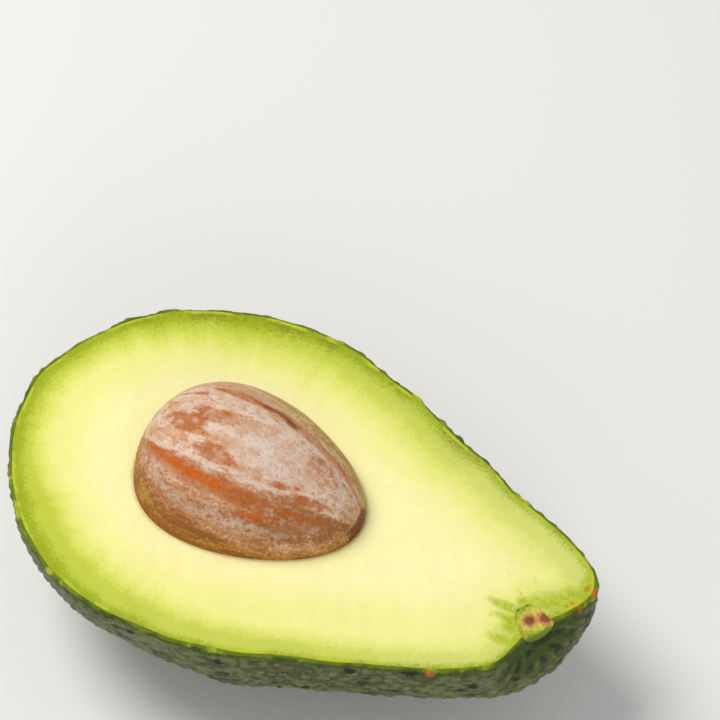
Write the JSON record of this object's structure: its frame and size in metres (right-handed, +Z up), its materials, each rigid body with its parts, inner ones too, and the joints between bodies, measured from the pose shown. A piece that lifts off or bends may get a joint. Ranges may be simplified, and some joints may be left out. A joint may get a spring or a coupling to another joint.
{
  "type": "halved avocado",
  "caption": "Pear-shaped avocado cut lengthways, skin pebbled, its egg-shaped seed standing half out of the flesh and the stem's woody plug cut through at the narrow end.",
  "frame": {"origin": "centre of the bounding box in X and Y, on the surface that the half rests on", "axes": "+X along the fruit, from the blossom end towards the stem end; +Y across the cut face; +Z up, out of the cut face"},
  "size_m": [0.1075, 0.0696, 0.0477],
  "materials": {
    "skin": "dark green, pebbled, with a dull waxy shine",
    "flesh": "pale yellow, green towards the skin, moist",
    "seed": "brown papery coat with long veins, half glossy",
    "stem_plug": "dry and fibrous"
  },
  "bodies": {
    "root": {"skin": "skin", "flesh": "flesh", "seed": "seed", "stem_plug": "stem_plug"}
  },
  "joints": []
}
